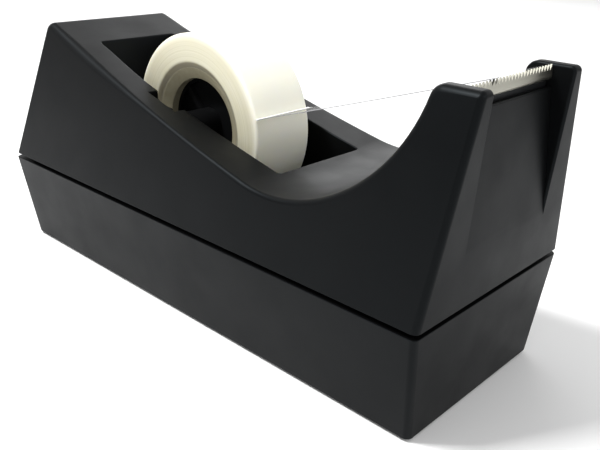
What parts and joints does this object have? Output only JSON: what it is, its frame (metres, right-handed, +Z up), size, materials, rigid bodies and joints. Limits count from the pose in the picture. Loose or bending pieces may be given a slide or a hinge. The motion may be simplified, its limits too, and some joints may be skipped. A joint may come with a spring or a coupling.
{
  "type": "desktop tape dispenser",
  "caption": "Weighted desktop tape dispenser with a two-part housing, a toothed steel cutter between raised cheeks, and a lift-out roll of tape on a hub.",
  "frame": {"origin": "on the table, under the centre of the housing's footprint", "axes": "+X towards the cutter, +Y to the left of someone who faces along +X, +Z up"},
  "size_m": [0.1567, 0.0584, 0.0738],
  "materials": {
    "upper_shell": "satin black moulded ABS, finely textured",
    "base_shell": "satin black moulded ABS, finely textured",
    "ballast_block": "as cast, dull grey",
    "ballast_screws": "zinc plated",
    "ballast_pad": "closed-cell foam rubber",
    "housing_screws": "zinc plated",
    "rubber_feet": "matte black rubber",
    "cutter_holder": "satin black moulded plastic",
    "cutter_blade": "bright rolled steel strip",
    "cutter_rivets": "bright steel",
    "holder_screws": "zinc plated",
    "hub_left": "satin black moulded plastic",
    "hub_right": "satin black moulded plastic",
    "hub_axle": "satin black moulded acetal",
    "drag_washers": "dark grey rubber",
    "tape_core": "grey-beige moulded plastic",
    "tape_roll": "wound translucent tape, cream white",
    "tape_strand": "translucent matte tape"
  },
  "bodies": {
    "housing": {"upper_shell": "upper_shell", "base_shell": "base_shell", "ballast_block": "ballast_block", "ballast_screws": "ballast_screws", "ballast_pad": "ballast_pad", "housing_screws": "housing_screws", "rubber_feet": "rubber_feet", "cutter_holder": "cutter_holder", "cutter_blade": "cutter_blade", "cutter_rivets": "cutter_rivets", "holder_screws": "holder_screws"},
    "spindle": {"hub_axle": "hub_axle", "drag_washers": "drag_washers", "tape_strand": "tape_strand"},
    "roll": {"hub_left": "hub_left", "hub_right": "hub_right", "tape_core": "tape_core", "tape_roll": "tape_roll"}
  },
  "joints": [
    {"name": "spindle_lift", "type": "slide", "parent": "housing", "child": "spindle", "axis": [0, 0, 1], "range_m": [0, 0.055]},
    {"name": "roll_spin", "type": "hinge", "parent": "spindle", "child": "roll", "pos_m": [-0.0127, 0, 0.0465], "axis": [0, 1, 0], "continuous": true}
  ]
}
